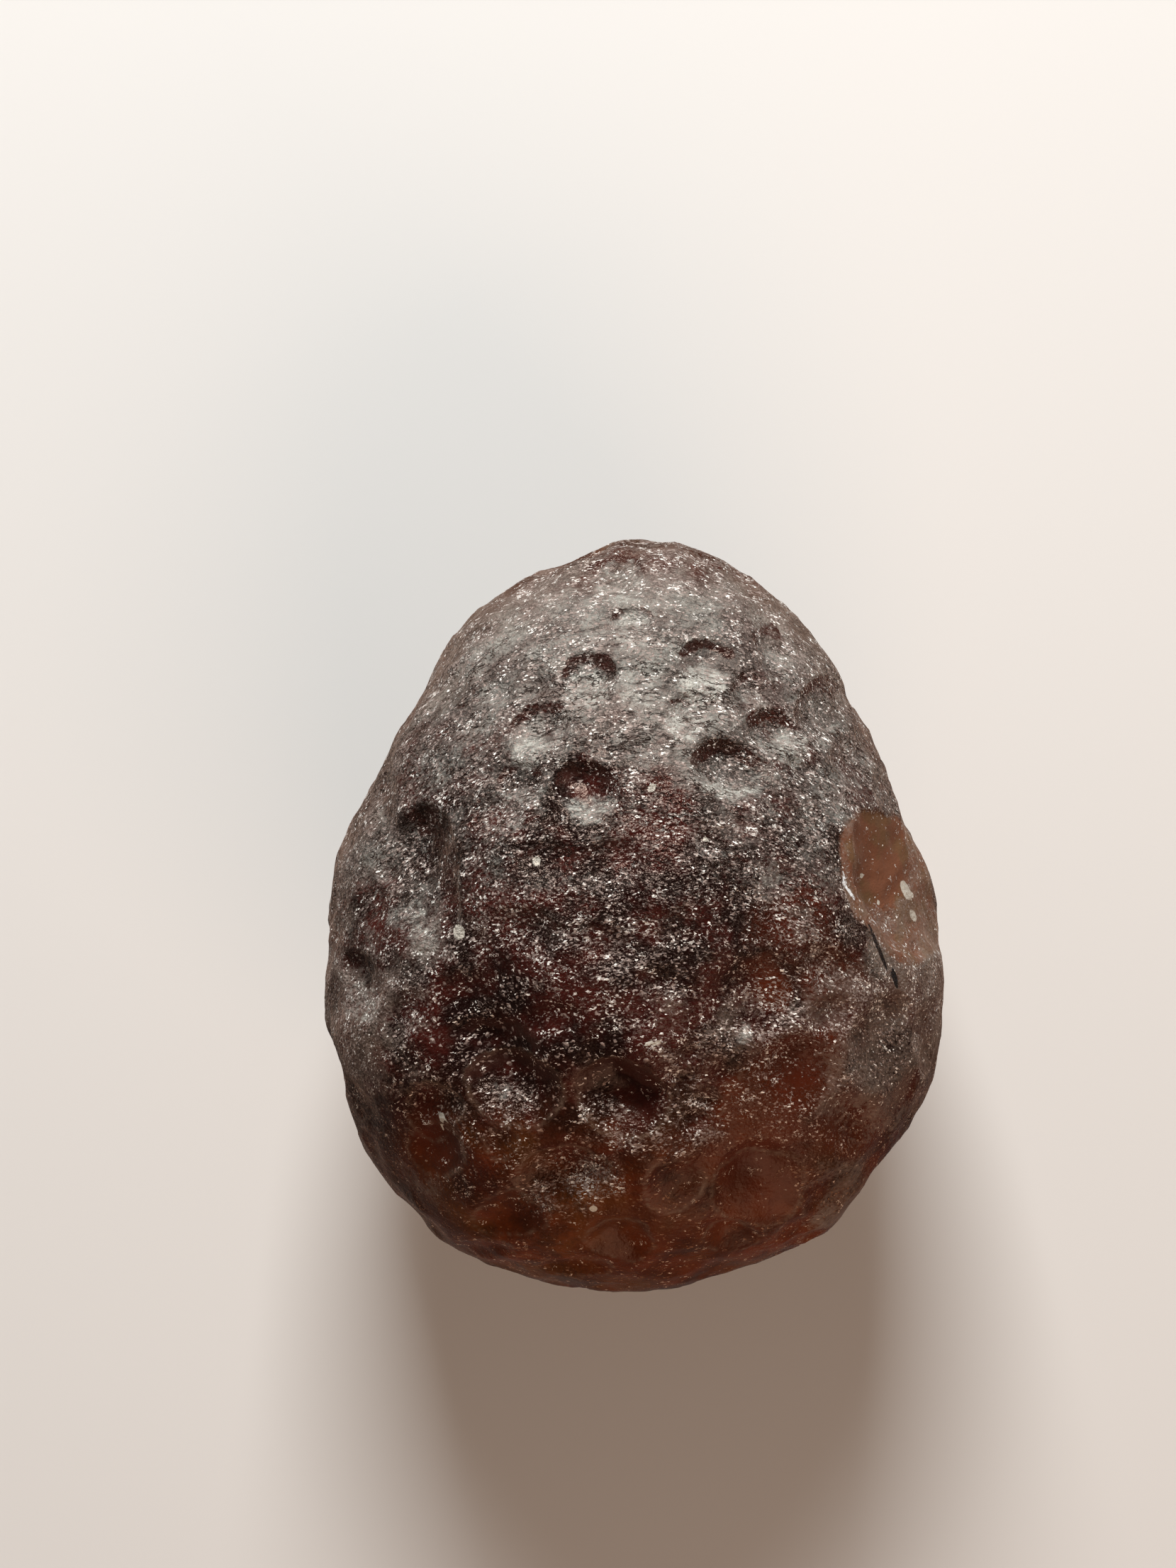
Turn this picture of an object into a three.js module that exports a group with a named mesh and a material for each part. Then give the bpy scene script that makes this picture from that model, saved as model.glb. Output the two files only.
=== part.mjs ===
// A tektite: one egg-shaped stone of dark brown natural glass, etched all over into cup-shaped pits.
// It lies on its back, on a small flat spot. Millimetres, +Z up, the egg's narrow end towards +Y,
// and the origin at the foot of the bounding box, in the middle.

import * as THREE from 'three';
import { mergeVertices } from 'three/addons/utils/BufferGeometryUtils.js';

// ---- The egg
const HALF_WIDTH = 9.73; // half the breadth along X, halfway along the egg
const HALF_LENGTH = 12.05; // half the length along Y
const HALF_HEIGHT = 8.2; // half the depth along Z, halfway along the egg
const NARROWING = 0.2; // share of the breadth lost at the narrow end and gained at the blunt one
const THINNING = 0.08; // the same for the depth
const REST_DEPTH = 7.9; // from the egg's middle down to the flat spot it lies on
const DETAIL = 21; // an icosahedron's face is cut into (DETAIL + 1) squared facets

// ---- Relief of the upper side, placed as seen from above
// Broad swells, and hollows where the rise is below 0: x, y, radius, rise
const SWELLS = [
  [1.3, 1.6, 6.5, 0.45],
  [-3.45, 1.4, 3.6, 0.35],
  [-1.95, -2.15, 3.4, 0.3],
  [-4.4, -3.5, 2.4, -0.45],
  [0.3, -3.75, 1.6, 0.3],
  [1.95, 0.45, 2.6, 0.25],
  [5.7, 2.5, 2.4, 0.3],
  [5.8, 0.2, 2.2, 0.35],
  [5.45, 8.1, 2.2, 0.2],
  [2.95, -6.35, 3.6, -0.3],
  [-7.35, -4.25, 2.4, 0.25],
  [-4.45, -7.3, 2.0, 0.22],
  [0.75, -7.5, 2.0, 0.22],
  [3.3, 9.8, 2.2, 0.2],
  [-5.3, -9.4, 2.6, 0.25],
  [-6.85, 5.75, 2.4, 0.15],
  [1.9, 11.6, 1.7, 0.17],
  [4.7, 9.9, 1.8, 0.16],
  [-5.6, 9.6, 2.4, 0.24],
  [-9.3, 1.9, 2.2, 0.17],
  [3.3, -11.4, 3.4, -0.2],
  [8.0, -7.1, 2.6, -0.18],
];

// Pits: x, y, half width, half length, turn in degrees, depth, softness of the rim (1 is crisp)
const NARROW_END_PITS = [
  [-0.6, 10.5, 1.05, 0.65, 0, 0.26, 1.4],
  [-0.05, 9.1, 0.8, 0.65, 0, 0.25, 1.4],
  [2.5, 10.3, 0.7, 0.6, -30, 0.15, 1.4],
  [-1.5, 7.35, 1.0, 0.95, 0, 0.44, 1.0],
  [-3.0, 7.2, 0.6, 0.5, 0, 0.15, 1.4],
  [-4.45, 6.9, 0.75, 0.6, 20, 0.15, 1.4],
  [0.4, 7.35, 0.7, 0.6, 0, 0.13, 1.4],
  [2.1, 7.9, 1.05, 0.9, 0, 0.34, 1.2],
  [4.25, 8.15, 0.6, 0.95, 15, 0.22, 1.4],
  [3.35, 7.05, 0.6, 0.7, 30, 0.19, 1.4],
];
const SHOULDER_PITS = [
  [-2.9, 5.9, 1.05, 0.95, 10, 0.25, 1.4],
  [-5.05, 6.0, 0.9, 0.8, 30, 0.15, 1.4],
  [-2.35, 6.25, 0.4, 0.3, 0, 0.1, 1.4],
  [1.75, 6.4, 0.95, 0.75, 0, 0.25, 1.4],
  [4.15, 5.7, 1.0, 0.9, 0, 0.3, 1.1],
  [5.65, 6.2, 0.9, 1.3, 20, 0.24, 1.4],
  [0.05, 5.25, 0.45, 0.32, 0, 0.13, 1.2],
  [2.75, 4.5, 1.2, 1.1, 0, 0.53, 1.0],
  [4.8, 4.7, 0.42, 0.22, -30, 0.17, 1.0],
  [6.7, 4.8, 0.6, 1.0, 20, 0.17, 1.4],
  [-1.45, 3.95, 1.05, 0.95, 0, 0.45, 1.0],
  [-3.45, 4.15, 0.85, 0.75, 0, 0.28, 1.2],
  [-4.15, 3.25, 0.85, 0.75, 0, 0.18, 1.4],
  [-2.6, 3.05, 0.7, 0.55, 0, 0.13, 1.4],
  [5.05, 3.05, 0.9, 0.7, 0, 0.17, 1.4],
];
const CROWN_PITS = [
  [-2.6, 1.75, 1.2, 0.75, 0, 0.26, 1.5],
  [-0.85, 1.75, 1.15, 0.85, 0, 0.22, 1.5],
  [0.45, 2.8, 0.9, 0.6, -10, 0.16, 1.5],
  [2.35, 2.4, 1.0, 0.6, 0, 0.14, 1.5],
  [-3.2, -0.25, 1.25, 0.9, 0, 0.26, 1.5],
  [-1.05, -0.65, 1.1, 0.8, 0, 0.17, 1.5],
  [1.0, -0.3, 1.1, 0.8, 0, 0.14, 1.5],
  [0.55, -1.75, 0.8, 0.6, 0, 0.14, 1.5],
  [3.1, 0.35, 1.0, 0.8, 0, 0.14, 1.5],
  [-2.5, -2.9, 1.2, 0.7, 10, 0.22, 1.5],
  [-4.15, -3.7, 1.5, 0.9, -10, 0.26, 1.5],
];
const LEFT_FLANK_PITS = [
  [-6.65, 1.4, 1.3, 2.35, 8, 0.65, 0.9], // the long crater
  [-6.15, 1.35, 1.9, 0.85, -80, 0.45, 0.9], // and its right side
  [-7.7, 2.65, 0.7, 1.2, 20, 0.22, 1.4],
  [-8.05, 0.35, 0.8, 1.1, 5, 0.22, 1.4],
  [-8.5, -2.1, 0.75, 1.2, 12, 0.34, 1.0],
  [-5.35, -2.1, 1.0, 0.8, 0, 0.2, 1.4],
  [-5.45, -3.35, 0.55, 0.45, 0, 0.14, 1.2],
  [-6.95, -2.85, 0.9, 0.7, 0, 0.18, 1.4],
];
const RIGHT_FLANK_PITS = [
  [8.0, 0.95, 2.7, 1.3, 120, 0.6, 0.8], // the smooth scoop
  [3.55, -2.25, 1.65, 1.5, 0, 0.42, 1.1],
  [5.7, -1.4, 0.9, 0.85, 0, 0.22, 1.2],
  [5.9, -2.9, 0.9, 0.85, 0, 0.2, 1.4],
  [4.95, -4.5, 1.4, 1.2, 0, 0.34, 1.2],
  [7.55, -3.85, 1.1, 1.6, -8, 0.34, 1.0],
  [6.65, -6.25, 1.05, 0.95, 0, 0.3, 1.0],
];
const BLUNT_END_PITS = [
  [-0.4, -5.25, 1.5, 1.3, 0, 0.55, 1.1],
  [-3.75, -4.95, 1.6, 1.25, 0, 0.5, 1.1],
  [-6.2, -5.75, 0.95, 0.9, 0, 0.34, 1.0],
  [-6.15, -7.05, 1.05, 0.8, -25, 0.3, 1.0],
  [-4.05, -6.7, 0.6, 0.5, 0, 0.16, 1.2],
  [-2.25, -7.65, 1.45, 0.95, 0, 0.4, 1.1],
  [-3.8, -9.0, 1.35, 0.7, 12, 0.3, 1.1],
  [-4.65, -10.25, 1.0, 0.5, 18, 0.2, 1.4],
  [-1.9, -10.85, 1.3, 0.45, 6, 0.24, 1.2],
  [-0.45, -9.8, 1.1, 0.75, 0, 0.36, 1.0],
  [1.15, -7.95, 1.0, 0.8, 0, 0.24, 1.2],
  [2.95, -9.8, 0.95, 0.6, -10, 0.3, 1.0],
  [3.8, -8.05, 1.55, 1.25, 0, 0.42, 1.0],
  [6.05, -8.5, 1.1, 0.8, 40, 0.22, 1.2],
  [1.4, -4.65, 0.42, 0.38, 0, 0.17, 0.9], // the cluster of small round cups
  [2.2, -5.45, 0.45, 0.42, 0, 0.17, 0.9],
  [1.8, -6.05, 0.42, 0.38, 0, 0.17, 0.9],
  [1.55, -3.85, 0.4, 0.33, 0, 0.14, 0.9],
  [2.65, -4.45, 0.5, 0.45, 0, 0.14, 1.0],
];
const PIT_LEAN = 0.55; // how much deeper a pit is on its side towards the narrow end
const PIT_STEEPNESS = 0.4; // how much steeper its wall is there, and gentler on the other side
const UPPER_SIDE_FADE = [-0.3, 0.05]; // direction heights between which the upper side's relief fades in

// ---- Broad hollows in the flanks: degrees round the egg from +X, height above its middle, radius, depth
const FLANK_HOLLOWS = [
  [17, 0.5, 2.6, 0.32],
  [32, 1.0, 1.7, 0.32],
  [40, -0.6, 2.4, 0.3],
  [105, 0.8, 1.9, 0.42],
  [152, 0.3, 3.2, 0.24],
  [188, -0.5, 1.8, 0.35],
  [206, 0.2, 1.9, 0.72],
  [272, 0.0, 2.0, 0.35],
  [286, -0.4, 2.2, 0.4],
  [299, -0.2, 1.8, 0.5],
  [313, 0.4, 2.6, 0.4],
  [246, -1.5, 1.6, 0.3],
  [351, -0.6, 1.9, 0.3],
  [50, -2.4, 1.8, 0.3],
  [135, -2.0, 1.7, 0.35],
  [168, -2.6, 1.9, 0.35],
  [226, -2.8, 1.9, 0.35],
];

// ---- Cups of the underside and the lower flanks, strewn along a spiral with a seeded unevenness
const STREWN = {
  places: 270, // cups along the spiral
  seed: 20,
  top: 0.45, // direction height at which the spiral starts
  angle: Math.PI * (3 - Math.sqrt(5)), // the golden angle, from one place to the next
  stray: 0.2, // how far a cup may lie round the egg from its place, in radians
  widestOnFlank: 0.95, // largest radius above the flank line
  shareOnFlank: 0.45, // how deep the cups above it are beside those below
  flankLine: -0.2, // direction height of that line
  clearOfRest: 2.7, // bare radius round the flat spot
  smallest: 0.5, // radius of the smallest cup
  spread: 1.8, // how much wider the widest one is
  skew: 2.2, // small cups outnumber wide ones
  shallowest: 0.2, // depth over radius
  deepening: 0.22, // how much deeper the deepest one is
};

// ---- A slow wander of the surface that keeps pits from being true ellipses
const WANDER = { reach: 0.16, pace: 1.3, phase: [0.4, 1.9, 4.0] };

const GLASS = new THREE.MeshStandardMaterial({ color: 0x2b211d, roughness: 0.5, metalness: 0 });

/** A repeatable draw of numbers from 0 up to 1. */
function seededDraw(seed) {
  let state = seed;
  return () => {
    state = (Math.imul(state, 1664525) + 1013904223) >>> 0;
    return state / 4294967296;
  };
}

/** The smooth egg's point and outward normal in a unit direction. */
function egg(direction) {
  const { x: u, y: v, z: w } = direction;
  const breadth = HALF_WIDTH * (1 - NARROWING * v);
  const height = HALF_HEIGHT * (1 - THINNING * v);
  const bulge = (u * u * NARROWING * HALF_WIDTH) / breadth + (w * w * THINNING * HALF_HEIGHT) / height;
  const point = new THREE.Vector3(breadth * u, HALF_LENGTH * v, height * w);
  const normal = new THREE.Vector3(u / breadth, (v + bulge) / HALF_LENGTH, w / height).normalize();
  return { point, normal };
}

/** The unit direction of the upper side's point at x, y. */
function directionFromAbove(x, y) {
  const v = y / HALF_LENGTH;
  const u = x / (HALF_WIDTH * (1 - NARROWING * v));
  return new THREE.Vector3(u, v, Math.sqrt(Math.max(0, 1 - u * u - v * v)));
}

/** Where the wander carries a point. */
function wander(point) {
  const { reach, pace, phase } = WANDER;
  return new THREE.Vector3(
    point.x + reach * Math.sin(pace * point.y + phase[0]),
    point.y + reach * Math.sin(pace * point.z + phase[1]),
    point.z + reach * Math.sin(pace * point.x + phase[2]),
  );
}

/** A pit of the upper side, ready to be measured from. */
function pitFromAbove([x, y, halfWidth, halfLength, turn, depth, softness]) {
  const centre = wander(egg(directionFromAbove(x, y)).point);
  const angle = THREE.MathUtils.degToRad(turn);
  return { centre, halfWidth, halfLength, cos: Math.cos(angle), sin: Math.sin(angle), depth, softness };
}

/** How deep a pit of the upper side is at a wandered point. */
function pitDepth(pit, place) {
  const dx = place.x - pit.centre.x;
  const dy = place.y - pit.centre.y;
  const across = (dx * pit.cos + dy * pit.sin) / pit.halfWidth;
  const along = (dy * pit.cos - dx * pit.sin) / pit.halfLength;
  const inside = Math.max(0, 1 - across * across - along * along);
  const power = pit.softness * (1 - PIT_STEEPNESS * THREE.MathUtils.clamp(along, -1, 1));
  return pit.depth * inside ** power * (1 + PIT_LEAN * along * Math.sqrt(inside));
}

/** A round cup at a unit direction. */
function cup(direction, radius, depth) {
  return { centre: wander(egg(direction).point), radius, depth };
}

/** The broad hollows of the flanks. */
function flankHollows() {
  return FLANK_HOLLOWS.map(([degrees, height, radius, depth]) => {
    const w = height / HALF_HEIGHT;
    const level = Math.sqrt(1 - w * w);
    const angle = THREE.MathUtils.degToRad(degrees);
    return cup(new THREE.Vector3(level * Math.cos(angle), level * Math.sin(angle), w), radius, depth);
  });
}

/** The strewn cups, clear of the flat spot. */
function strewnCups() {
  const draw = seededDraw(STREWN.seed);
  const cups = [];
  for (let i = 0; i < STREWN.places; i += 1) {
    const w = STREWN.top - ((1 + STREWN.top) * (i + draw())) / STREWN.places;
    const angle = STREWN.angle * i + STREWN.stray * (draw() - 0.5);
    const onFlank = w > STREWN.flankLine;
    const widest = onFlank ? STREWN.widestOnFlank : Infinity;
    const share = onFlank ? STREWN.shareOnFlank : 1;
    const radius = Math.min(widest, STREWN.smallest + STREWN.spread * draw() ** STREWN.skew);
    const depth = share * radius * (STREWN.shallowest + STREWN.deepening * draw());
    const level = Math.sqrt(1 - w * w);
    const direction = new THREE.Vector3(level * Math.cos(angle), level * Math.sin(angle), w);
    const { point } = egg(direction);
    const nearRest = w < 0 && Math.hypot(point.x, point.y) < STREWN.clearOfRest + radius;
    if (!nearRest) cups.push(cup(direction, radius, depth));
  }
  return cups;
}

/** How far a point lies inside a round cup: 1 at its centre, 0 at its rim and beyond. */
function insideCup({ centre, radius }, place) {
  return Math.max(0, 1 - place.distanceToSquared(centre) / radius ** 2);
}

/** The stone's surface point in a unit direction. */
function surfacePoint(direction, { pits, hollows, cups }) {
  const { point, normal } = egg(direction);
  const place = wander(point);
  const upper = THREE.MathUtils.smoothstep(direction.z, ...UPPER_SIDE_FADE);
  let rise = 0;
  let depth = 0;
  if (upper > 0) {
    for (const [x, y, radius, height] of SWELLS) {
      const inside = Math.max(0, 1 - ((place.x - x) ** 2 + (place.y - y) ** 2) / radius ** 2);
      rise += upper * height * inside * inside;
    }
    for (const pit of pits) depth = Math.max(depth, upper * pitDepth(pit, place));
  }
  for (const hollow of hollows) rise -= hollow.depth * insideCup(hollow, place) ** 2;
  for (const one of cups) depth = Math.max(depth, one.depth * insideCup(one, place));
  point.addScaledVector(normal, rise - depth);
  point.z = Math.max(point.z, -REST_DEPTH);
  return point;
}

/** The whole stone as one closed mesh, standing on z = 0. */
function stoneGeometry() {
  const sphere = new THREE.IcosahedronGeometry(1, DETAIL);
  sphere.deleteAttribute('normal');
  sphere.deleteAttribute('uv');
  const geometry = mergeVertices(sphere, 1e-5);
  const pits = [
    ...NARROW_END_PITS,
    ...SHOULDER_PITS,
    ...CROWN_PITS,
    ...LEFT_FLANK_PITS,
    ...RIGHT_FLANK_PITS,
    ...BLUNT_END_PITS,
  ].map(pitFromAbove);
  const relief = { pits, hollows: flankHollows(), cups: strewnCups() };
  const position = geometry.getAttribute('position');
  const direction = new THREE.Vector3();
  for (let i = 0; i < position.count; i += 1) {
    direction.fromBufferAttribute(position, i).normalize();
    const point = surfacePoint(direction, relief);
    position.setXYZ(i, point.x, point.y, point.z);
  }
  geometry.computeBoundingBox();
  const { min, max } = geometry.boundingBox;
  geometry.translate(-(min.x + max.x) / 2, -(min.y + max.y) / 2, -min.z);
  return geometry;
}

const tektite = new THREE.Mesh(stoneGeometry(), GLASS);
tektite.name = 'tektite';

const part = new THREE.Group();
part.add(tektite);

export default part;
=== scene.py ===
"""A tektite: an egg-shaped stone of dark brown natural glass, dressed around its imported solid.

The stone is made again on a finer sphere from the same egg, swells, pits and cups as the solid, and
then gets what the solid leaves out: dimples, hammering, low steps and ragged rims. Its relief is worked
out in millimetres with the egg's middle at the origin, and the mesh is made in metres, in the solid's
own place.
"""

import math
from functools import reduce

import bpy
import numpy as np
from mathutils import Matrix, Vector, noise
from mathutils.kdtree import KDTree


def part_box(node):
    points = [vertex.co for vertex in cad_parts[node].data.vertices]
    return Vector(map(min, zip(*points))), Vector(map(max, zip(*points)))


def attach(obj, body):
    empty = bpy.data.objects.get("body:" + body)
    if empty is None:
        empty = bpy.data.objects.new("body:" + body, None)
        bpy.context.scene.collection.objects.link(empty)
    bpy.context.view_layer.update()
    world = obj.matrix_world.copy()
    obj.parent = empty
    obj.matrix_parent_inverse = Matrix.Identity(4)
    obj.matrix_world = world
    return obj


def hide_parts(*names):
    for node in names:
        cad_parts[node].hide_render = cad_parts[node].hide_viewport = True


NODE = "tektite"
MM = 0.001

# ---- The egg, in millimetres, as in the solid
HALF_WIDTH = 9.73
HALF_LENGTH = 12.05
HALF_HEIGHT = 8.2
NARROWING = 0.2  # share of the breadth lost at the narrow end and gained at the blunt one
THINNING = 0.08  # the same for the depth
REST_DEPTH = 7.9  # from the egg's middle down to the flat spot
CUTS = 98  # each of an icosahedron's faces is cut into CUTS squared facets

# ---- Relief of the upper side, as seen from above
# Broad swells, and hollows where the rise is below 0: x, y, radius, rise
SWELLS = (
    (1.3, 1.6, 6.5, 0.45), (-3.45, 1.4, 3.6, 0.35), (-1.95, -2.15, 3.4, 0.3),
    (-4.4, -3.5, 2.4, -0.45), (0.3, -3.75, 1.6, 0.3), (1.95, 0.45, 2.6, 0.25),
    (5.7, 2.5, 2.4, 0.3), (5.8, 0.2, 2.2, 0.35), (5.45, 8.1, 2.2, 0.2),
    (2.95, -6.35, 3.6, -0.3), (-7.35, -4.25, 2.4, 0.25), (-4.45, -7.3, 2.0, 0.22),
    (0.75, -7.5, 2.0, 0.22), (3.3, 9.8, 2.2, 0.2), (-5.3, -9.4, 2.6, 0.25),
    (-6.85, 5.75, 2.4, 0.15), (1.9, 11.6, 1.7, 0.17), (4.7, 9.9, 1.8, 0.16),
    (-5.6, 9.6, 2.4, 0.24), (-9.3, 1.9, 2.2, 0.17), (3.3, -11.4, 3.4, -0.2),
    (8.0, -7.1, 2.6, -0.18),
)

# Pits: x, y, half width, half length, turn in degrees, depth, softness of the rim (1 is crisp)
NARROW_END_PITS = (
    (-0.6, 10.5, 1.05, 0.65, 0, 0.26, 1.4),
    (-0.05, 9.1, 0.8, 0.65, 0, 0.25, 1.4),
    (2.5, 10.3, 0.7, 0.6, -30, 0.15, 1.4),
    (-1.5, 7.35, 1.0, 0.95, 0, 0.44, 1.0),
    (-3.0, 7.2, 0.6, 0.5, 0, 0.15, 1.4),
    (-4.45, 6.9, 0.75, 0.6, 20, 0.15, 1.4),
    (0.4, 7.35, 0.7, 0.6, 0, 0.13, 1.4),
    (2.1, 7.9, 1.05, 0.9, 0, 0.34, 1.2),
    (4.25, 8.15, 0.6, 0.95, 15, 0.22, 1.4),
    (3.35, 7.05, 0.6, 0.7, 30, 0.19, 1.4),
)
SHOULDER_PITS = (
    (-2.9, 5.9, 1.05, 0.95, 10, 0.25, 1.4),
    (-5.05, 6.0, 0.9, 0.8, 30, 0.15, 1.4),
    (-2.35, 6.25, 0.4, 0.3, 0, 0.1, 1.4),
    (1.75, 6.4, 0.95, 0.75, 0, 0.25, 1.4),
    (4.15, 5.7, 1.0, 0.9, 0, 0.3, 1.1),
    (5.65, 6.2, 0.9, 1.3, 20, 0.24, 1.4),
    (0.05, 5.25, 0.45, 0.32, 0, 0.13, 1.2),
    (2.75, 4.5, 1.2, 1.1, 0, 0.53, 1.0),
    (4.8, 4.7, 0.42, 0.22, -30, 0.17, 1.0),
    (6.7, 4.8, 0.6, 1.0, 20, 0.17, 1.4),
    (-1.45, 3.95, 1.05, 0.95, 0, 0.45, 1.0),
    (-3.45, 4.15, 0.85, 0.75, 0, 0.28, 1.2),
    (-4.15, 3.25, 0.85, 0.75, 0, 0.18, 1.4),
    (-2.6, 3.05, 0.7, 0.55, 0, 0.13, 1.4),
    (5.05, 3.05, 0.9, 0.7, 0, 0.17, 1.4),
)
CROWN_PITS = (
    (-2.6, 1.75, 1.2, 0.75, 0, 0.26, 1.5),
    (-0.85, 1.75, 1.15, 0.85, 0, 0.22, 1.5),
    (0.45, 2.8, 0.9, 0.6, -10, 0.16, 1.5),
    (2.35, 2.4, 1.0, 0.6, 0, 0.14, 1.5),
    (-3.2, -0.25, 1.25, 0.9, 0, 0.26, 1.5),
    (-1.05, -0.65, 1.1, 0.8, 0, 0.17, 1.5),
    (1.0, -0.3, 1.1, 0.8, 0, 0.14, 1.5),
    (0.55, -1.75, 0.8, 0.6, 0, 0.14, 1.5),
    (3.1, 0.35, 1.0, 0.8, 0, 0.14, 1.5),
    (-2.5, -2.9, 1.2, 0.7, 10, 0.22, 1.5),
    (-4.15, -3.7, 1.5, 0.9, -10, 0.26, 1.5),
)
LEFT_FLANK_PITS = (
    (-6.65, 1.4, 1.3, 2.35, 8, 0.65, 0.9),  # the long crater
    (-6.15, 1.35, 1.9, 0.85, -80, 0.45, 0.9),  # and its right side
    (-7.7, 2.65, 0.7, 1.2, 20, 0.22, 1.4),
    (-8.05, 0.35, 0.8, 1.1, 5, 0.22, 1.4),
    (-8.5, -2.1, 0.75, 1.2, 12, 0.34, 1.0),
    (-5.35, -2.1, 1.0, 0.8, 0, 0.2, 1.4),
    (-5.45, -3.35, 0.55, 0.45, 0, 0.14, 1.2),
    (-6.95, -2.85, 0.9, 0.7, 0, 0.18, 1.4),
)
RIGHT_FLANK_PITS = (
    (8.0, 0.95, 2.7, 1.3, 120, 0.6, 0.8),  # the smooth scoop
    (3.55, -2.25, 1.65, 1.5, 0, 0.42, 1.1),
    (5.7, -1.4, 0.9, 0.85, 0, 0.22, 1.2),
    (5.9, -2.9, 0.9, 0.85, 0, 0.2, 1.4),
    (4.95, -4.5, 1.4, 1.2, 0, 0.34, 1.2),
    (7.55, -3.85, 1.1, 1.6, -8, 0.34, 1.0),
    (6.65, -6.25, 1.05, 0.95, 0, 0.3, 1.0),
)
BLUNT_END_PITS = (
    (-0.4, -5.25, 1.5, 1.3, 0, 0.55, 1.1),
    (-3.75, -4.95, 1.6, 1.25, 0, 0.5, 1.1),
    (-6.2, -5.75, 0.95, 0.9, 0, 0.34, 1.0),
    (-6.15, -7.05, 1.05, 0.8, -25, 0.3, 1.0),
    (-4.05, -6.7, 0.6, 0.5, 0, 0.16, 1.2),
    (-2.25, -7.65, 1.45, 0.95, 0, 0.4, 1.1),
    (-3.8, -9.0, 1.35, 0.7, 12, 0.3, 1.1),
    (-4.65, -10.25, 1.0, 0.5, 18, 0.2, 1.4),
    (-1.9, -10.85, 1.3, 0.45, 6, 0.24, 1.2),
    (-0.45, -9.8, 1.1, 0.75, 0, 0.36, 1.0),
    (1.15, -7.95, 1.0, 0.8, 0, 0.24, 1.2),
    (2.95, -9.8, 0.95, 0.6, -10, 0.3, 1.0),
    (3.8, -8.05, 1.55, 1.25, 0, 0.42, 1.0),
    (6.05, -8.5, 1.1, 0.8, 40, 0.22, 1.2),
    (1.4, -4.65, 0.42, 0.38, 0, 0.17, 0.9),  # the cluster of small round cups
    (2.2, -5.45, 0.45, 0.42, 0, 0.17, 0.9),
    (1.8, -6.05, 0.42, 0.38, 0, 0.17, 0.9),
    (1.55, -3.85, 0.4, 0.33, 0, 0.14, 0.9),
    (2.65, -4.45, 0.5, 0.45, 0, 0.14, 1.0),
)
PIT_LEAN = 0.55  # how much deeper a pit is on its side towards the narrow end
PIT_STEEPNESS = 0.4  # how much steeper its wall is there, and gentler on the other side
UPPER_SIDE_FADE = (-0.3, 0.05)  # direction heights between which the upper side's relief fades in

# ---- Broad hollows in the flanks: degrees round the egg from +X, height over its middle, radius, depth
FLANK_HOLLOWS = (
    (17, 0.5, 2.6, 0.32), (32, 1.0, 1.7, 0.32), (40, -0.6, 2.4, 0.3),
    (105, 0.8, 1.9, 0.42), (152, 0.3, 3.2, 0.24), (188, -0.5, 1.8, 0.35),
    (206, 0.2, 1.9, 0.72), (272, 0.0, 2.0, 0.35), (286, -0.4, 2.2, 0.4),
    (299, -0.2, 1.8, 0.5), (313, 0.4, 2.6, 0.4), (246, -1.5, 1.6, 0.3),
    (351, -0.6, 1.9, 0.3), (50, -2.4, 1.8, 0.3), (135, -2.0, 1.7, 0.35),
    (168, -2.6, 1.9, 0.35), (226, -2.8, 1.9, 0.35),
)

# ---- Cups of the underside and the lower flanks, strewn unevenly along a spiral
STREWN_PLACES = 270  # cups along the spiral
STREWN_SEED = 20
STREWN_TOP = 0.45  # direction height at which the spiral starts
STREWN_STRAY = 0.2  # how far a cup may lie round the egg from its place, in radians
STREWN_RADIUS = (0.5, 1.8, 2.2)  # smallest, growth to the widest, rarity of wide ones
STREWN_DEPTH = (0.2, 0.22)  # over the radius: shallowest, growth to the deepest
STREWN_WIDEST_ON_FLANK = 0.95  # largest radius above the flank line
STREWN_SHARE_ON_FLANK = 0.45  # how deep the cups above it are beside those below
FLANK_LINE = -0.2  # direction height of that line
CLEAR_OF_REST = 2.7  # bare radius round the flat spot
GOLDEN_ANGLE = math.pi * (3 - math.sqrt(5))

# ---- A slow wander of the surface that keeps pits from being true ellipses
WANDER_REACH = 0.16
WANDER_PACE = 1.3
WANDER_PHASE = (0.4, 1.9, 4.0)

# ---- Fine relief, which only this mesh has
DIMPLES = 3400  # small shallow cups all over
DIMPLE_SEED = 7
DIMPLE_STRAY = 6  # how far a dimple may lie round the egg from its place, in radians
DIMPLE_RADIUS = (0.2, 0.75)  # smallest and widest
DIMPLE_DEPTH = (0.03, 0.12)  # shallowest and deepest, over the radius
HAMMERING = ((1.7, 0.03), (0.8, 0.02), (0.42, 0.016))  # wavelength, height
HAMMERING_UNETCHED = 0.35  # share of it that is left on unetched glass
STREAKS = ((0.7, 0.03), (0.36, 0.016))  # the same for low steps that run across the etched stone
STREAK_STRETCH = 2.2  # how much longer a step is than it is wide
BARE_SMOOTHNESS = 0.85  # share of the fine relief that bare glass lacks
RIM_RAGGEDNESS = ((1.1, 0.16), (0.45, 0.08))  # wavelength and reach of what frays the pits' rims
PATCH_RAGGEDNESS = ((2.2, 0.6), (0.8, 0.4))  # the same for the patches of the skin
# Shifts in the noise, so that no ripple repeats another
FRAY_SHIFT, HAMMERING_SHIFT, STREAK_SHIFT, CLOUD_SHIFT = 10.0, 100.0, 200.0, 300.0

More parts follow.
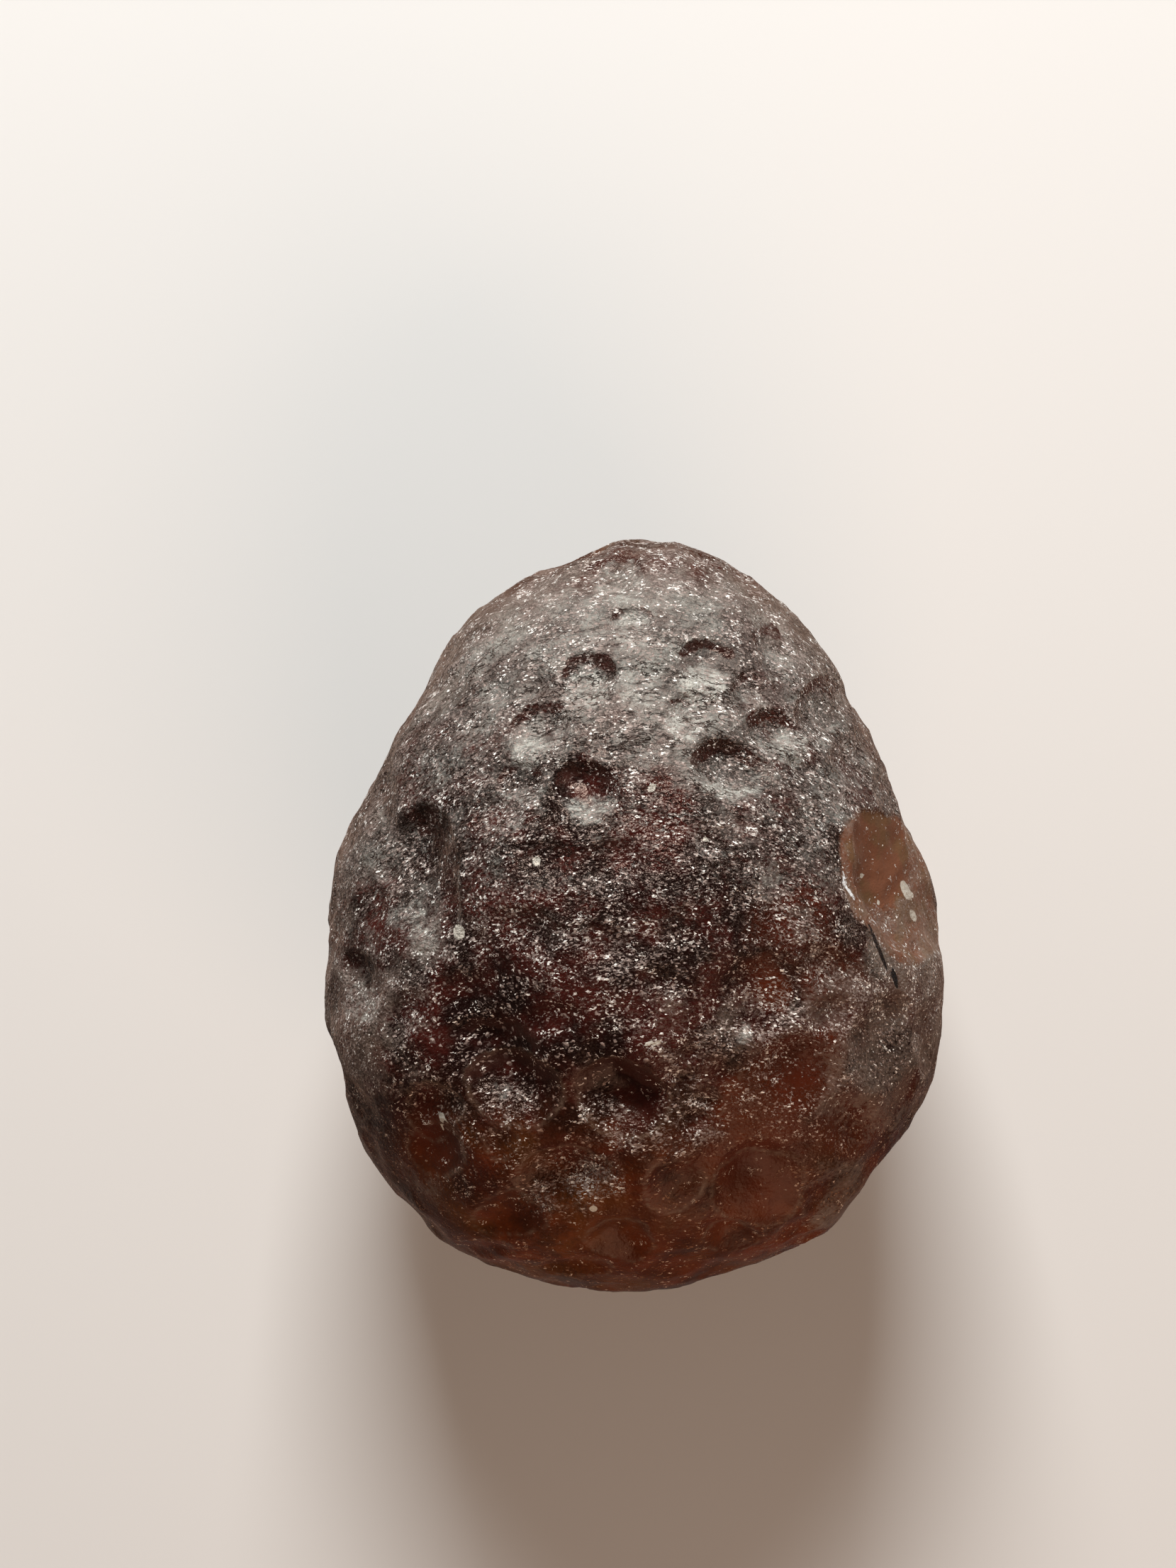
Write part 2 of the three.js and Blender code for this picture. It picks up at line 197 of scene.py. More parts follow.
# ---- Where the skin differs, and where some painted shade, sheen and glow lie, as seen from above: x, y, radius, strength
# Milky patches, some of them painted sheen on the lower floors of pits, which face the window
MILKY_AND_SHEEN = (
    (4.6, 5.35, 0.7, 0.8), (-0.05, 8.9, 0.8, 0.6), (-0.55, 10.4, 1.0, 0.5),
    (-1.5, 7.1, 0.8, 0.85), (0.1, 6.95, 0.7, 0.6), (1.95, 7.25, 0.8, 0.9),
    (-7.0, 0.15, 0.75, 0.55), (-6.5, -0.6, 0.55, 0.7), (-8.4, -2.6, 0.8, 0.55),
    (-3.2, 5.15, 0.7, 0.8), (1.45, 6.1, 0.7, 0.8), (-4.0, -5.0, 0.4, 0.45),
    (3.2, -3.3, 0.35, 0.7),
)
FROSTY = (
    (-6.75, 0.6, 1.5, 0.7), (-5.7, 3.2, 1.1, 0.6), (-6.6, -0.4, 1.2, 0.75),
    (-8.2, -2.3, 1.0, 0.7), (-1.4, -7.95, 1.0, 0.45), (-3.0, -8.15, 0.8, 0.3),
    (3.0, -3.3, 1.3, 0.65), (0.45, -2.6, 1.3, 0.5), (-3.75, -5.5, 1.0, 0.3),
    (1.5, -4.4, 1.4, 0.5), (1.7, -5.95, 1.0, 0.4), (-0.6, -5.95, 1.1, 0.5),
    (8.45, -1.0, 1.9, 0.95), (7.2, -2.3, 2.2, 0.75), (7.25, -5.0, 2.2, 0.75),
    (6.3, -8.3, 1.6, 0.7), (4.6, -10.3, 1.3, 0.45), (-6.6, -8.0, 1.2, 0.5),
    (5.4, -3.15, 1.6, 0.5), (6.5, 4.4, 2.2, 0.75), (4.65, 1.75, 2.4, 0.62),
    (2.75, 3.65, 2.0, 0.65), (-3.4, 4.4, 2.0, 0.7), (-4.05, 1.0, 1.4, 0.5),
)
# Darker patches, most in hollows: painted shade, partly thinner etching, which takes away etching,
# frost and brown glow
DARK = (
    (-2.7, 2.25, 1.5, 0.5), (-6.7, 2.4, 1.0, 0.15), (-1.2, -1.4, 1.9, 0.35),
    (-1.9, -3.0, 1.4, 0.6), (-8.15, -0.35, 1.4, 0.5), (0.3, 3.1, 1.2, 0.4),
    (0.2, -0.9, 1.2, 0.4), (-4.5, -2.5, 1.8, 0.75), (-3.1, -3.4, 1.7, 0.8),
    (-5.2, -3.75, 1.2, 0.6), (-0.65, -4.1, 1.4, 0.85), (-1.6, -4.8, 0.8, 0.8),
    (0.2, -4.9, 0.9, 0.6), (-2.3, -6.3, 0.8, 0.6), (-0.45, -6.9, 1.0, 0.45),
    (2.45, -0.55, 1.4, 0.5), (0.3, 1.4, 1.1, 0.4), (-1.5, 4.3, 0.9, 0.95),
    (-1.85, -5.7, 0.8, 0.7), (-1.45, -7.1, 0.8, 0.6), (-3.7, -4.6, 1.7, 0.85),
    (-0.4, -5.1, 1.4, 0.85), (1.2, -7.6, 1.0, 0.5), (0.9, -8.7, 1.5, 0.4),
    (-7.2, -5.7, 0.9, 0.5), (-4.9, -7.9, 1.0, 0.5),
)
BARE = (
    (4.95, -4.4, 0.9, 0.5), (3.8, -8.0, 1.4, 0.7), (-0.45, -9.8, 1.1, 0.8),
    (2.95, -9.8, 0.9, 0.6), (-6.15, -7.0, 1.1, 0.6), (-3.8, -9.0, 1.1, 0.6),
    (0.0, -4.9, 0.9, 0.8), (6.65, -6.2, 0.9, 0.4),
)
# Warm spots: painted glow of light through the glass
WARM_GLOW = (
    (3.85, -1.8, 0.9, 0.7), (5.8, -1.3, 1.1, 0.4), (4.6, 0.05, 1.2, 0.3),
    (5.0, -4.4, 1.6, 0.5), (3.9, -8.0, 1.8, 0.4), (-0.4, -9.9, 1.6, 0.4),
    (6.65, -6.15, 1.4, 0.5), (-6.2, -6.95, 1.4, 0.3), (3.6, -6.0, 1.5, 0.5),
    (3.95, 6.1, 0.6, 0.4),
)
SUGARED = (
    (1.05, -4.0, 1.4, 0.9), (1.6, -5.7, 1.2, 0.9), (3.1, -3.4, 1.2, 0.8),
    (-1.3, -7.95, 0.9, 1.0), (-3.0, -8.15, 0.6, 0.9), (-2.2, -7.8, 1.3, 0.6),
    (-3.7, -5.45, 1.2, 0.85), (-0.6, -5.95, 1.2, 0.8), (-5.7, -6.1, 0.8, 0.6),
    (-7.95, -2.35, 1.0, 0.8), (-2.45, -2.55, 1.4, 0.35), (5.4, -3.45, 1.6, 0.5),
    (-6.4, -0.6, 1.0, 0.9), (-4.6, -6.6, 1.6, 0.45), (-4.9, -7.7, 1.5, 0.35),
    (-2.4, -9.0, 1.4, 0.3), (5.2, -5.4, 1.8, 0.25),
)
BEADED = (
    (-4.4, -2.2, 2.4, 0.8), (-1.4, -1.95, 2.4, 0.5), (0.45, -1.95, 1.5, 0.8),
    (-2.9, 0.45, 1.8, 0.4), (1.4, -4.8, 1.6, 1.0), (1.7, -5.95, 1.0, 1.0),
    (-3.1, -5.3, 2.0, 0.5), (0.2, -5.95, 1.3, 0.6), (-1.85, -6.95, 2.4, 0.5),
    (-5.75, -4.55, 2.0, 0.7), (-8.15, -1.95, 1.2, 0.6),
)
# Small pale inclusions with a sharp outline: x, y, half width, half length, turn in degrees
INCLUSIONS = (
    (8.45, 0.9, 0.13, 0.32, 25), (8.62, 0.75, 0.07, 0.14, 60),
    (8.7, 0.1, 0.1, 0.2, 25), (6.95, 1.4, 0.07, 0.08, 0),
    (7.5, 0.55, 0.05, 0.09, 10), (-5.35, -0.25, 0.17, 0.22, 10),
    (-1.3, -8.7, 0.12, 0.1, 0), (-5.9, -5.95, 0.28, 0.045, 35),
    (-5.9, -5.95, 0.28, 0.045, -40), (-5.92, -6.15, 0.045, 0.28, 5),
    (0.45, -3.5, 0.45, 0.06, 5), (0.45, 4.1, 0.16, 0.1, 40),
    (2.05, 2.55, 0.12, 0.08, 0), (-3.0, 1.9, 0.13, 0.15, 0),
)
# The scoop's lower left edge: dark lines of painted shade along its rim and a bright painted glint,
# placed like the inclusions
EDGES = (
    (7.4, -0.8, 0.06, 1.0, 24),
    (7.95, -1.75, 0.08, 0.35, 15),
)
GLINTS = (
    (6.45, 0.95, 0.05, 0.42, 35),
    (6.3, 1.35, 0.04, 0.25, 10),
    (7.3, -0.05, 0.03, 0.25, 30),
)

# ---- How the skin changes over the stone
SPOT_SPREAD = 1.3  # a patch ends at this square of the distance over its radius
SCOOP_OUTLINE = (7.8, 0.9, 2.75, 1.5, 120)  # the smooth scoop's skin: placed like a pit
CLEAR_POOL = (7.55, 1.95, 1.05, 1.5)  # the scoop's clear part: x, y, half width, half length
POOL_EDGE = (0.8, 1.15)  # over its half sizes: clear up to the first, frosted from the second
# Limits along Y, either way: none of it up to the first, all of it from the second
ETCHED_FROM = (-9.5, 0.5)
DULL_FROM = (-2.5, -8.5)
CRACKED_FROM = (-3.0, 2.0)
FEW_CRACKS_FROM = (7.5, 10.5)
# Painted sheen on the pits' lower floors
FLOOR_SHEEN_FROM = (-2.0, 4.0)
# Frost, with painted sheen growing towards the narrow end, which faces the window
FROST_SHEEN_FROM = (-2.5, 11.0)
LESS_FROST_FROM = (9.5, 11.5)
FLANKS_FROSTED_FROM = (-11.5, -3.0)
# Painted glow of light through the brown glass
BROWN_FROM = (-6.0, -12.0)
FROST_BROWN_FROM = (3.0, -5.0)
# The same along Z
SPOTS_ABOVE = (-1.0, 1.0)
SCOOP_ABOVE = (-0.8, 1.0)
SIDE_BELOW = (1.0, -3.0)
BROWN_BELOW = (4.5, -1.0)
FROST_BROWN_BELOW = (5.0, 1.0)
FLANK_FROM = (4.5, 8.0)  # and away from the middle along X
# How far inside a pit each of these fades in and out again: 0 is the rim, 1 the middle
WALL_SHADE_BAND = ((0, 0.1), (0.8, 0.5))
CRATER_SHADE_BAND = ((0, 0.1), (0.85, 0.6))
RIM_LIGHT_BAND = ((0, 0.08), (0.26, 0.1))
MARKED_DEPTH = 0.4  # pits this deep get their painted wall shade and painted floor sheen in full
CRATER_LEAN = (0.75, 0.65)  # the crater's wall with painted shade faces this far across it, and this far along it
CRATER_SHADE_SHARE = 0.62  # how dark the painted shade on its wall is
LEAST_ETCHED = 0.2  # the etching at the blunt end
SIDE_ETCHED = (1.3, 0.4)  # how cloudy the flanks' etching is, and its least
SCOOP_ETCHED = (0.04, 0.3)  # how etched the scoop is in its pool, and how much more outside it
SCOOP_FROSTED = 0.66  # how frosted it is outside its pool
MOST_FROST = 0.86
BROWN_TILT = 0.35  # how far the brown's limits move along Y for a millimetre of height
SIDE_BROWN = 0.6
DARK_CLEARS = 0.75  # share of the etching and the frost that a dark patch takes away
SKIN = (  # the skin's attributes, painted shade, sheen and glow among them, which the material reads
    "etched", "bare", "frost_and_sheen", "milky_and_sheen", "wall", "warm_glow", "scoop_glow",
    "low", "beaded", "dull", "browned", "rim_light", "cracked", "inclusion", "edge", "glint",
)

# ---- Patterns of the skin, in millimetres
FLOW_BEND = 0.03  # how strongly the etching's strokes bend down towards the flanks
FLOW_SQUEEZE = 0.6  # breadth over length of a stroke
# Noises: bumps in a millimetre, detail, roughness
RAGGED = (3.0, 4.0, 0.7)
FINE = (8.0, 4.0, 0.75)
ROUGH = (8.0, 1.5, 0.6)
FLECKS = (12.0, 4.0, 0.8)
GRIT = (15.0, 4.0, 0.8)
FROST_PATCHES = (0.9, 3.0, 0.6)
# Clouds: a noise, then its values that make 0 and 1, or that make the two last numbers instead
BODY_PATCHES = (0.6, 3.0, 0.6, 0.4, 0.64)
SMOKE = (0.35, 3.0, 0.6, 0.36, 0.64)
SMEARS = (0.8, 4.0, 0.65, 0.36, 0.62, 0.7, 0.0)
OLIVE_PATCHES = (1.0, 2.0, 0.5, 0.45, 0.65)
MOTTLE = (0.75, 3.0, 0.65, 0.34, 0.66)
FIBRES = (1.0, 4.0, 0.75, 0.38, 0.6, 0.2, 0.9)
FIBRE_STRETCH = (2.0, 7.0, 4.0)  # how much denser the milky fibres are along X, Y and Z
GRAIN_CROWDS = (1.1, 4.0, 0.7, 0.42, 0.62)
GRAIN_PATCHES = (2.4, 2.0, 0.6, 0.36, 0.58, 0.5, 1.12)
CRACK_CROWDS = (1.3, 3.0, 0.6, 0.37, 0.53)
# Shakes: bumps in a millimetre and reach of what makes a pattern ragged
CHIP_SHAKE = (14.0, 0.09)
STROKE_SHAKE = (14.0, 0.1)
BEAD_SHAKE = (9.0, 0.12)
CRACK_SHAKE = (12.0, 0.08)
# Cells: how many there are in a millimetre
CHIP_SCALE = 21.0
BEAD_SCALE = 4.5
# Threads: bumps in a millimetre and breadth
STROKES = (4.2, 0.018)
FINE_CRACKS = (6.0, 0.05)
BROAD_CRACKS = (2.6, 0.018)
CRACKS_LEAST = (0.49, 0.52)  # for fine and broad ones: a higher one breaks them up more
CRACK_STRETCH = (0.8, 1.0, 1.0)  # the same as the fibres' stretch
BRIGHTNESS = (0.85, 0.65, 0.65, 0.9)  # of chips, flecks, beads and strokes
# Edges: how far a noise moves them, and the amounts where a patch starts and is full
BARE_EDGE = (1.2, 0.3, 0.7)
WALL_SHADE_EDGE = (1.5, 0.3, 0.7)
MILKY_SHEEN_EDGE = (1.6, 0.25, 1.0)
# The same for slivers, whose edge the noise only moves outwards
INCLUSION_EDGE = (0.3, 0.58, 0.68)
RIM_SHADE_EDGE = (0.3, 0.6, 0.7)
GLINT_EDGE = (0.9, 0.9, 1.05)

# ---- Colours of the skin and of its painted shade, sheen and glow; where there are two, they lie side by side in patches
CROWN_GLASS = ((0.006, 0.0011, 0.0009, 1), (0.042, 0.0062, 0.0043, 1))
# Brown glass, painted brighter as a glow of light through it
GLOWING_BROWN_GLASS = ((0.138, 0.027, 0.004, 1), (0.115, 0.038, 0.006, 1))
SMEARED_GLASS = (0.018, 0.005, 0.002, 1)
# Warm painted glow of light through the glass
WARM_GLOW_GLASS = (0.095, 0.017, 0.004, 1)
# Painted highlight along the bowls' rims
RIM_LIGHT = (0.14, 0.09, 0.062, 1)
# The scoop's brown, painted brighter as a glow of light through its thin glass
GLOWING_SCOOP_GLASS = ((0.16, 0.064, 0.035, 1), (0.14, 0.073, 0.036, 1))
# Painted shade on the pits' upper walls, dark maroon
WALL_SHADE = (0.034, 0.011, 0.008, 1)
# Grey frost, with painted sheen towards the narrow end
GREY_FROST_SHEEN = ((0.13, 0.113, 0.101, 1), (0.32, 0.316, 0.285, 1))
TAN_FROST = ((0.14, 0.095, 0.072, 1), (0.215, 0.165, 0.135, 1))
# Milky veil, partly painted sheen on the pits' lower floors
MILK_AND_SHEEN = (0.46, 0.455, 0.41, 1)
# Painted shade in the clefts, which the bumps also sink
CLEFT_SHADE = (0.006, 0.002, 0.0015, 1)
# Painted shade along the scoop's lower left rim, and a painted glint
RIM_SHADE = (0.012, 0.011, 0.012, 1)
GLINT = (0.8, 0.85, 0.88, 1)
INCLUSION = ((0.3, 0.27, 0.23, 1), (0.66, 0.63, 0.55, 1))
# Bright, and dull as at the blunt end
GRIT_COLOURS = ((0.13, 0.095, 0.08, 1), (0.135, 0.05, 0.022, 1))
FAINT_COLOURS = ((0.28, 0.218, 0.195, 1), (0.2, 0.09, 0.045, 1))
SPARKLING_COLOURS = ((1.0, 0.98, 0.92, 1), (0.8, 0.66, 0.54, 1))
ROUGHNESS = (0.27, 0.5)  # of clear glass and of thick frost

# ---- Floor, camera and lights, in metres
FLOOR_REACH = 1.5
FLOOR_COLOUR = (0.5, 0.495, 0.485)
FLOOR_ROUGHNESS = 0.9
CAMERA_PLACE = (-1.44 * MM, 4.16 * MM, 126.3 * MM)
AIM = (0, 0, 8 * MM)  # what the lights point at
# Lights: place, size, energy in watts, colour
WINDOW = ((-0.012, 0.175, 0.12), 0.09, 0.98, (1.0, 0.99, 0.97))
FILL = ((0.07, -0.17, 0.1), 0.16, 0.37, (1.0, 0.7, 0.52))
SKY_COLOUR = (1.0, 0.94, 0.89, 1)
SKY_STRENGTH = 0.09


def seeded_draw(seed):
    """A repeatable draw of numbers from 0 up to 1, the same as the solid's."""
    state = seed

    def draw():
        nonlocal state
        state = (state * 1664525 + 1013904223) % 2**32
        return state / 2**32

    return draw


# ---- The sphere that carries the relief


def icosahedron():
    """The corners and faces of an icosahedron."""
    g = (1 + math.sqrt(5)) / 2
    corners = [(-1, g, 0), (1, g, 0), (-1, -g, 0), (1, -g, 0)]
    corners += [(z, x, y) for x, y, z in corners] + [(y, z, x) for x, y, z in corners]
    corners = np.array(corners, float)
    edge = 2.1  # a little over an edge's length, which is 2
    near = np.linalg.norm(corners[:, None] - corners[None], axis=2) < edge
    faces = []
    for a in range(12):
        for b in range(a + 1, 12):
            for c in range(b + 1, 12):
                if near[a, b] and near[b, c] and near[a, c]:
                    out = np.dot(np.cross(corners[b] - corners[a], corners[c] - corners[a]), corners[a])
                    faces.append((a, b, c) if out > 0 else (a, c, b))
    return corners, faces


def fine_sphere(cuts):
    """Unit directions and triangles of an icosahedron with its faces cut and blown up to a sphere."""
    corners, faces = icosahedron()
    steps = [(i, j) for i in range(cuts + 1) for j in range(cuts + 1 - i)]
    index = {step: n for n, step in enumerate(steps)}
    upright = [(index[i, j], index[i + 1, j], index[i, j + 1]) for i, j in steps if i + j < cuts]
    between = [
        (index[i + 1, j], index[i + 1, j + 1], index[i, j + 1]) for i, j in steps if i + j < cuts - 1
    ]
    one_face = np.array(upright + between)
    i, j = np.array(steps, float).T[:, :, None]
    points = [(corners[a] * (cuts - i - j) + corners[b] * i + corners[c] * j) for a, b, c in faces]
    triangles = np.vstack([one_face + n * len(steps) for n in range(len(faces))])
    points = np.vstack(points)
    points /= np.linalg.norm(points, axis=1, keepdims=True)
    _, first, merged = np.unique(np.round(points * 1e5), axis=0, return_index=True, return_inverse=True)
    return points[first], merged.reshape(-1)[triangles]


# ---- The relief that the stone shares with its solid


def egg(directions):
    """The smooth egg's points and outward normals in unit directions."""
    u, v, w = np.atleast_2d(directions).T
    breadth = HALF_WIDTH * (1 - NARROWING * v)
    height = HALF_HEIGHT * (1 - THINNING * v)
    bulge = u * u * NARROWING * HALF_WIDTH / breadth + w * w * THINNING * HALF_HEIGHT / height
    points = np.stack((breadth * u, HALF_LENGTH * v, height * w), axis=1)
    normals = np.stack((u / breadth, (v + bulge) / HALF_LENGTH, w / height), axis=1)
    return points, normals / np.linalg.norm(normals, axis=1, keepdims=True)


def direction_from_above(x, y):
    """The unit direction of the upper side's point at x, y."""
    v = y / HALF_LENGTH
    u = x / (HALF_WIDTH * (1 - NARROWING * v))
    return np.array((u, v, math.sqrt(max(0.0, 1 - u * u - v * v))))


def wander(points):
    """Where the wander carries points."""
    phases = np.array(WANDER_PHASE)
    return points + WANDER_REACH * np.sin(WANDER_PACE * points[:, (1, 2, 0)] + phases)


def smooth_step(low, high, values):
    """0 up to low, 1 from high, and a smooth rise between them."""
    t = np.clip((values - low) / (high - low), 0, 1)
    return t * t * (3 - 2 * t)


def swell_rise(places):
    """How far the broad swells of the upper side lift each place."""
    rise = np.zeros(len(places))
    for x, y, radius, height in SWELLS:
        inside = 1 - ((places[:, 0] - x) ** 2 + (places[:, 1] - y) ** 2) / radius**2
        rise += height * np.maximum(inside, 0) ** 2
    return rise


def pit_frame(pit, places):
    """How far each place lies inside a pit, and how far across and along it, up to its steep side."""
    x, y, half_width, half_length, turn = pit[:5]
    centre = wander(egg(direction_from_above(x, y))[0])[0]
    cos, sin = math.cos(math.radians(turn)), math.sin(math.radians(turn))
    dx, dy = places[:, 0] - centre[0], places[:, 1] - centre[1]
    across = (dx * cos + dy * sin) / half_width
    along = (dy * cos - dx * sin) / half_length
    return np.maximum(0, 1 - across**2 - along**2), across, along


def pit_depth(pit, places):
    """How deep one pit of the upper side is at each place."""
    depth, softness = pit[5:]
    inside, _, along = pit_frame(pit, places)
    power = softness * (1 - PIT_STEEPNESS * np.clip(along, -1, 1))
    return depth * inside**power * (1 + PIT_LEAN * along * np.sqrt(inside))


def inside_cup(centre, radius, places):
    """How far each place lies inside a round cup: 1 at its centre, 0 at its rim and beyond."""
    return np.maximum(0, 1 - ((places - centre) ** 2).sum(axis=1) / radius**2)


def flank_hollows():
    """Centre, radius and depth of the flanks' broad hollows."""
    found = []
    for degrees, height, radius, depth in FLANK_HOLLOWS:
        w = height / HALF_HEIGHT
        level, angle = math.sqrt(1 - w * w), math.radians(degrees)
        direction = (level * math.cos(angle), level * math.sin(angle), w)
        found.append((wander(egg(direction)[0])[0], radius, depth))
    return found


def strewn_cups():
    """Centre, radius and depth of the strewn cups, clear of the flat spot."""
    draw = seeded_draw(STREWN_SEED)
    found = []
    for i in range(STREWN_PLACES):
        w = STREWN_TOP - (1 + STREWN_TOP) * (i + draw()) / STREWN_PLACES
        angle = GOLDEN_ANGLE * i + STREWN_STRAY * (draw() - 0.5)
        on_flank = w > FLANK_LINE
        least, more, rarity = STREWN_RADIUS
        radius = min(STREWN_WIDEST_ON_FLANK if on_flank else math.inf, least + more * draw() ** rarity)
        least, more = STREWN_DEPTH
        depth = (STREWN_SHARE_ON_FLANK if on_flank else 1) * radius * (least + more * draw())
        level = math.sqrt(1 - w * w)
        point = egg((level * math.cos(angle), level * math.sin(angle), w))[0]
        near_rest = w < 0 and math.hypot(point[0, 0], point[0, 1]) < CLEAR_OF_REST + radius
        if not near_rest:
            found.append((wander(point)[0], radius, depth))
    return found


# ---- The fine relief


def ripple(points, wavelength, shift):
    """Even noise from -1 to 1 at points, with bumps about half a wavelength wide."""
    places = (points / wavelength + shift).tolist()
    return np.array([noise.noise(Vector(place)) for place in places])


def frayed(points, raggedness):
    """Points moved a little every way, so that rims measured from them come out ragged."""
    moved = points.copy()
    for n, (wavelength, reach) in enumerate(raggedness):
        for axis in range(3):
            moved[:, axis] += reach * ripple(points, wavelength, FRAY_SHIFT * (3 * n + axis + 1))
    return moved


def dimple_depth(points):
    """How deep the small dimples are at each point: the deepest one counts."""
    draw = seeded_draw(DIMPLE_SEED)
    tree = KDTree(len(points))
    for n, point in enumerate(points):
        tree.insert(point, n)
    tree.balance()
    depth = np.zeros(len(points))
    for i in range(DIMPLES):
        w = 1 - 2 * (i + draw()) / DIMPLES
        angle = GOLDEN_ANGLE * i + DIMPLE_STRAY * draw()
        level = math.sqrt(1 - w * w)
        centre = egg((level * math.cos(angle), level * math.sin(angle), w))[0][0]
        low, high = DIMPLE_RADIUS
        radius = low + (high - low) * draw() ** 2
        low, high = DIMPLE_DEPTH
        deepest = radius * (low + (high - low) * draw())
        for _, n, distance in tree.find_range(centre, radius):
            depth[n] = max(depth[n], deepest * (1 - (distance / radius) ** 2))
    return depth


def fine_relief(points, etched, bare):
    """How far dimples, hammering and steps lift each point: most where etched, little where bare."""
    rise = -dimple_depth(points)
    strength = HAMMERING_UNETCHED + (1 - HAMMERING_UNETCHED) * etched
    for n, (wavelength, height) in enumerate(HAMMERING):
        rise += height * strength * ripple(points, wavelength, HAMMERING_SHIFT + 10 * n)
    stretched = points / np.array((STREAK_STRETCH, 1, 1))
    for n, (wavelength, height) in enumerate(STREAKS):
        rise += height * etched * ripple(stretched, wavelength, STREAK_SHIFT + 10 * n)
    return rise * (1 - BARE_SMOOTHNESS * bare)


def stone_surface(directions):
    """The stone's points in unit directions."""
    points, normals = egg(directions)
    places = frayed(wander(points), RIM_RAGGEDNESS)
    upper = smooth_step(*UPPER_SIDE_FADE, directions[:, 2])
    rise = upper * swell_rise(places)
    depth = np.zeros(len(points))
    pits = NARROW_END_PITS + SHOULDER_PITS + CROWN_PITS
    pits += LEFT_FLANK_PITS + RIGHT_FLANK_PITS + BLUNT_END_PITS
    for pit in pits:
        depth = np.maximum(depth, upper * pit_depth(pit, places))
    for centre, radius, deepest in flank_hollows():
        rise -= deepest * inside_cup(centre, radius, places) ** 2
    for centre, radius, deepest in strewn_cups():
        depth = np.maximum(depth, deepest * inside_cup(centre, radius, places))
    look = skin(points)
    fine = fine_relief(points, look["etched"], look["bare"])
    points = points + normals * (rise - depth + fine)[:, None]
    points[:, 2] = np.maximum(points[:, 2], -REST_DEPTH)
    return points


# ---- The skin's patches


def spots(points, table):
    """How much of a table's round patches lies at each point of the upper side, from 0 to 1."""
    amount = np.zeros(len(points))
    for x, y, radius, strength in table:
        away = ((points[:, 0] - x) ** 2 + (points[:, 1] - y) ** 2) / radius**2
        amount = np.maximum(amount, strength * smooth_step(0, 1, SPOT_SPREAD - away))
    return amount * smooth_step(*SPOTS_ABOVE, points[:, 2])


def band(inside, fade_in, fade_out):
    """A band that fades in and out again, going into a pit."""
    return smooth_step(*fade_in, inside) * smooth_step(*fade_out, inside)


def pit_marks(places):
    """How much each place is a pit's steep upper wall, given painted shade, or its lower floor, given a
    milky painted sheen.
    """
    wall, floor = np.zeros(len(places)), np.zeros(len(places))
    for pit in NARROW_END_PITS + SHOULDER_PITS + CROWN_PITS + BLUNT_END_PITS[:2]:
        inside, _, along = pit_frame(pit, places)
        strength = min(1, pit[5] / MARKED_DEPTH)
        wall = np.maximum(wall, strength * band(inside, *WALL_SHADE_BAND) * smooth_step(-0.05, 0.5, along))
        floor_sheen = smooth_step(0, 0.5, inside) * smooth_step(0.1, -0.4, along)
        floor = np.maximum(floor, strength * floor_sheen)
    return wall, floor * smooth_step(*FLOOR_SHEEN_FROM, places[:, 1])


def crater_wall(places):
    """How much painted shade each place gets on the long crater's wall, at its head and on its right.
    """
    inside, across, along = pit_frame(LEFT_FLANK_PITS[0], places)
    facing = CRATER_LEAN[0] * across + CRATER_LEAN[1] * along
    return CRATER_SHADE_SHARE * band(inside, *CRATER_SHADE_BAND) * smooth_step(0.1, 0.45, facing)


def lit_dish_rims(places):
    """How much each place is the pale outline of a bowl or dish of the blunt end: a painted highlight
    along its rim.
    """
    rim_light = np.zeros(len(places))
    for pit in BLUNT_END_PITS:
        rim_light = np.maximum(rim_light, band(pit_frame(pit, places)[0], *RIM_LIGHT_BAND))
    return rim_light


def scoop_skin(places):
    """How much each place is the smooth scoop, and how much of it is outside the scoop's clear pool."""
    scoop = smooth_step(*SCOOP_ABOVE, places[:, 2])
    scoop *= smooth_step(0, 0.12, pit_frame(SCOOP_OUTLINE, wander(places))[0])
    x, y, half_width, half_length = CLEAR_POOL
    off_pool = np.hypot((places[:, 0] - x) / half_width, (places[:, 1] - y) / half_length)
    return scoop, smooth_step(*POOL_EDGE, off_pool)


def slivers(places, table):
    """How near each place is to the middle of one of the small ellipses: a half at its outline."""
    nearness = np.zeros(len(places))
    for x, y, half_width, half_length, turn in table:
        cos, sin = math.cos(math.radians(turn)), math.sin(math.radians(turn))
        dx, dy = places[:, 0] - x, places[:, 1] - y
        away = np.hypot((dx * cos + dy * sin) / half_width, (dy * cos - dx * sin) / half_length)
        nearness = np.maximum(nearness, 1 - 0.5 * away)
    return nearness * (places[:, 2] > 0)


def etching(patches, side, cloud):
    """How etched each place is, apart from dark and sugary patches: most on the crown."""
    ragged, least = SIDE_ETCHED
    etched = LEAST_ETCHED + (1 - LEAST_ETCHED) * smooth_step(*ETCHED_FROM, patches[:, 1])
    etched *= 1 - side + side * cloud * ragged
    etched *= 1 - DARK_CLEARS * spots(patches, DARK)
    return np.maximum(etched, least * side * cloud)


